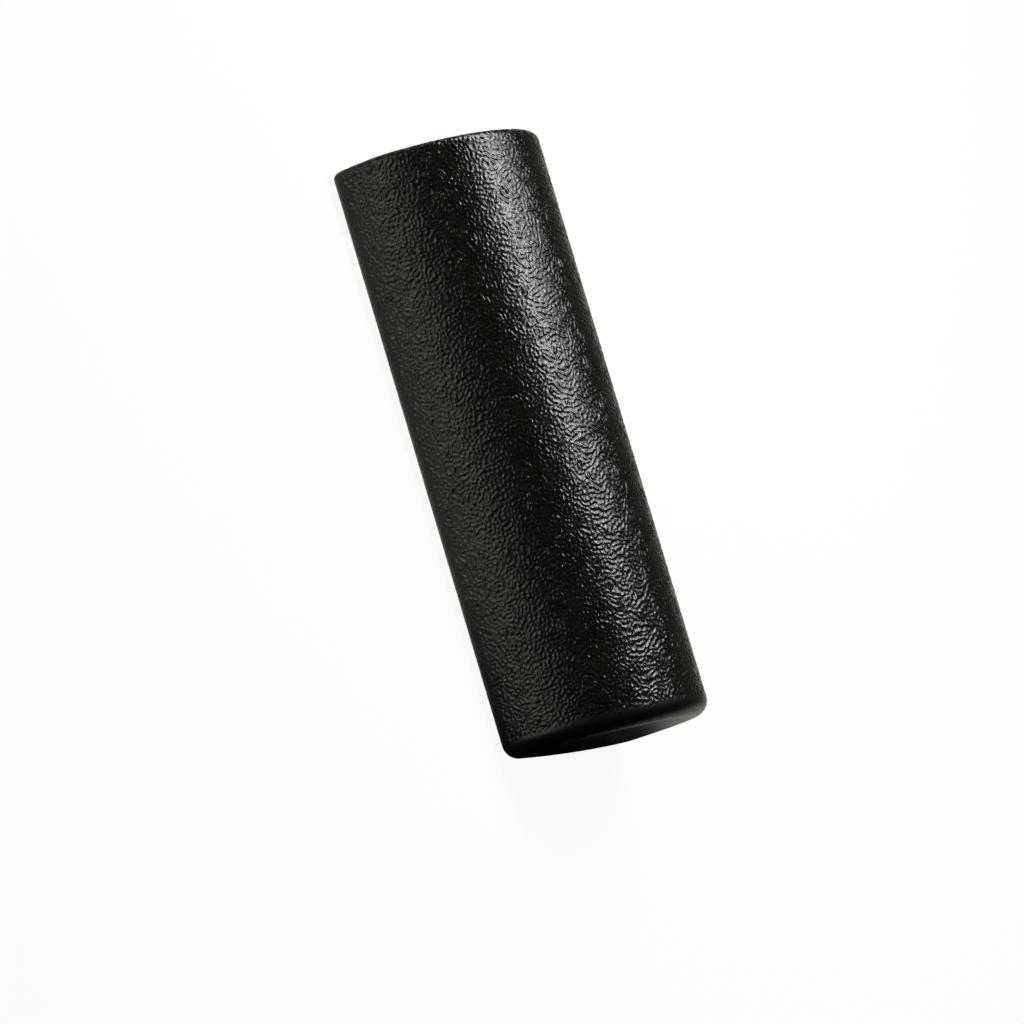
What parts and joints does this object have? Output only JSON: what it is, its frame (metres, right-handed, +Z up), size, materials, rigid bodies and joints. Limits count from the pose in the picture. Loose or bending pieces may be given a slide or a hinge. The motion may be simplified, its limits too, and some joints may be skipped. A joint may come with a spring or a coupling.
{
  "type": "half round foam roller",
  "caption": "Half round foam roller: a black foam block with a flat underside, a grained curved top and rounded ends, for balance, stretching and therapy.",
  "frame": {"origin": "middle of the flat underside, on the surface that the roller stands on", "axes": "+X along the roller, +Y across it, +Z up from the flat underside to the crown"},
  "size_m": [0.3, 0.1494, 0.075],
  "materials": {
    "core_foam": "closed-cell foam, matt",
    "grained_foam": "foam skin moulded with a fine wrinkled grain, low sheen",
    "smooth_foam": "smooth foam skin, matt"
  },
  "bodies": {
    "root": {"foam_core": "core_foam", "curved_skin": "grained_foam", "base_skin": "smooth_foam", "right_end_skin": "smooth_foam", "left_end_skin": "grained_foam"}
  },
  "joints": []
}
